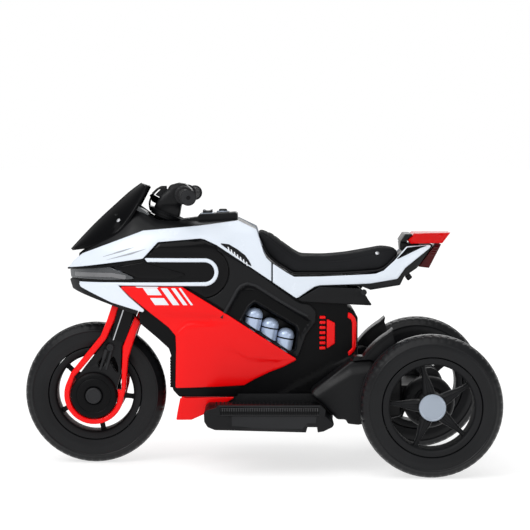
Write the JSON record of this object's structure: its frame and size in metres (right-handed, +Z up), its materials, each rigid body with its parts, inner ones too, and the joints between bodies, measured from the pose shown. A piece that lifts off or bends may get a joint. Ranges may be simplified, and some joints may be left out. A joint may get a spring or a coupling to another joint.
{
  "type": "ride-on toy motorcycle",
  "caption": "Child's electric ride-on motorcycle with a steered front wheel in a raked fork, two driven rear wheels, sport fairing, padded seat and footboards.",
  "frame": {"origin": "on the ground, under the middle of the object's bounding box", "axes": "+X from the front wheel to the rear, +Y to the rider's right, +Z up"},
  "size_m": [1.0134, 0.4828, 0.607],
  "materials": {
    "tyre": "satin black moulded tyre with sidewall rings",
    "rim": "satin black moulded wheel",
    "silver_trim": "silver-blue painted plastic",
    "black_plastic": "fine-grained black moulding",
    "dark_casing": "dark grey moulding",
    "gloss_black": "piano black",
    "white_panel": "cool white gloss",
    "red_panel": "bright red gloss",
    "steel": "zinc-plated steel",
    "grip_rubber": "ribbed soft grip",
    "cable": "thin black lead",
    "clear_lens": "smoke-grey clear plastic",
    "smoked_screen": "dark smoked acrylic",
    "red_lens": "translucent red",
    "dark_red_lens": "dark translucent red",
    "seat_leather": "black grained synthetic leather"
  },
  "bodies": {
    "body": {"head_frame": "black_plastic", "body_core": "black_plastic", "upper_panel_right": "white_panel", "upper_panel_left": "white_panel", "seat_panel_right": "white_panel", "seat_panel_left": "white_panel", "lower_panel_right": "white_panel", "lower_panel_left": "white_panel", "intake_right": "gloss_black", "intake_left": "gloss_black", "engine_cover_right": "black_plastic", "engine_cover_left": "black_plastic", "red_fairing_right": "red_panel", "red_fairing_left": "red_panel", "headlight_lens": "clear_lens", "belly_guard": "red_panel", "cylinder_bank_right": "silver_trim", "cylinder_bank_left": "silver_trim", "side_trim_right": "red_panel", "side_trim_left": "red_panel", "top_cowl": "black_plastic", "windscreen": "smoked_screen", "seat": "seat_leather", "seat_support": "black_plastic", "tail_frame": "black_plastic", "tail_light": "red_lens", "reflector": "dark_red_lens", "footboard_right": "black_plastic", "footboard_left": "black_plastic", "rear_housing": "black_plastic", "gearbox_right": "dark_casing", "gearbox_left": "dark_casing", "rear_axle": "steel", "mudguard_right": "black_plastic", "mudguard_left": "black_plastic", "battery": "dark_casing", "control_box": "dark_casing"},
    "steering": {"fork_right": "black_plastic", "fork_left": "black_plastic", "fork_trim_right": "red_panel", "fork_trim_left": "red_panel", "front_axle": "dark_casing", "steering_stem": "steel", "handlebar_tube": "steel", "handlebar_riser": "black_plastic", "grip_right": "grip_rubber", "grip_left": "grip_rubber", "bar_cable": "cable"},
    "front_wheel": {"front_tyre": "tyre", "front_rim": "rim"},
    "rear_wheel_right": {"rear_tyre_right": "tyre", "rear_rim_right": "rim", "hub_cap_right": "silver_trim"},
    "rear_wheel_left": {"rear_tyre_left": "tyre", "rear_rim_left": "rim", "hub_cap_left": "silver_trim"},
    "pedal": {"pedal": "dark_casing"},
    "power_switch": {"power_switch": "silver_trim"},
    "direction_switch": {"direction_switch": "silver_trim"},
    "horn_button": {"horn_button": "red_panel"}
  },
  "joints": [
    {"name": "steer", "type": "hinge", "parent": "body", "child": "steering", "pos_m": [-0.35425, 0, 0.1525], "axis": [0.3778, 0, 0.9259], "range_deg": [-22, 22]},
    {"name": "front_wheel_spin", "type": "hinge", "parent": "steering", "child": "front_wheel", "pos_m": [-0.35425, 0, 0.1525], "axis": [0, -1, 0], "continuous": true},
    {"name": "rear_wheel_right_spin", "type": "hinge", "parent": "body", "child": "rear_wheel_right", "pos_m": [0.35775, 0.205, 0.149], "axis": [0, -1, 0], "continuous": true},
    {"name": "rear_wheel_left_spin", "type": "hinge", "parent": "body", "child": "rear_wheel_left", "pos_m": [0.35775, -0.205, 0.149], "axis": [0, -1, 0], "continuous": true},
    {"name": "pedal_press", "type": "hinge", "parent": "body", "child": "pedal", "pos_m": [0.038, 0.15, 0.149], "axis": [0, -1, 0], "range_deg": [0, 12], "stiffness_Nm_per_rad": 2},
    {"name": "power_rock", "type": "hinge", "parent": "body", "child": "power_switch", "pos_m": [-0.111, -0.019, 0.5445], "axis": [0, 1, 0], "range_deg": [-8, 8]},
    {"name": "direction_rock", "type": "hinge", "parent": "body", "child": "direction_switch", "pos_m": [-0.111, 0.019, 0.5445], "axis": [0, 1, 0], "range_deg": [-8, 8]},
    {"name": "horn_press", "type": "slide", "parent": "body", "child": "horn_button", "axis": [0, 0, -1], "range_m": [0, 0.003], "stiffness_N_per_m": 200}
  ]
}
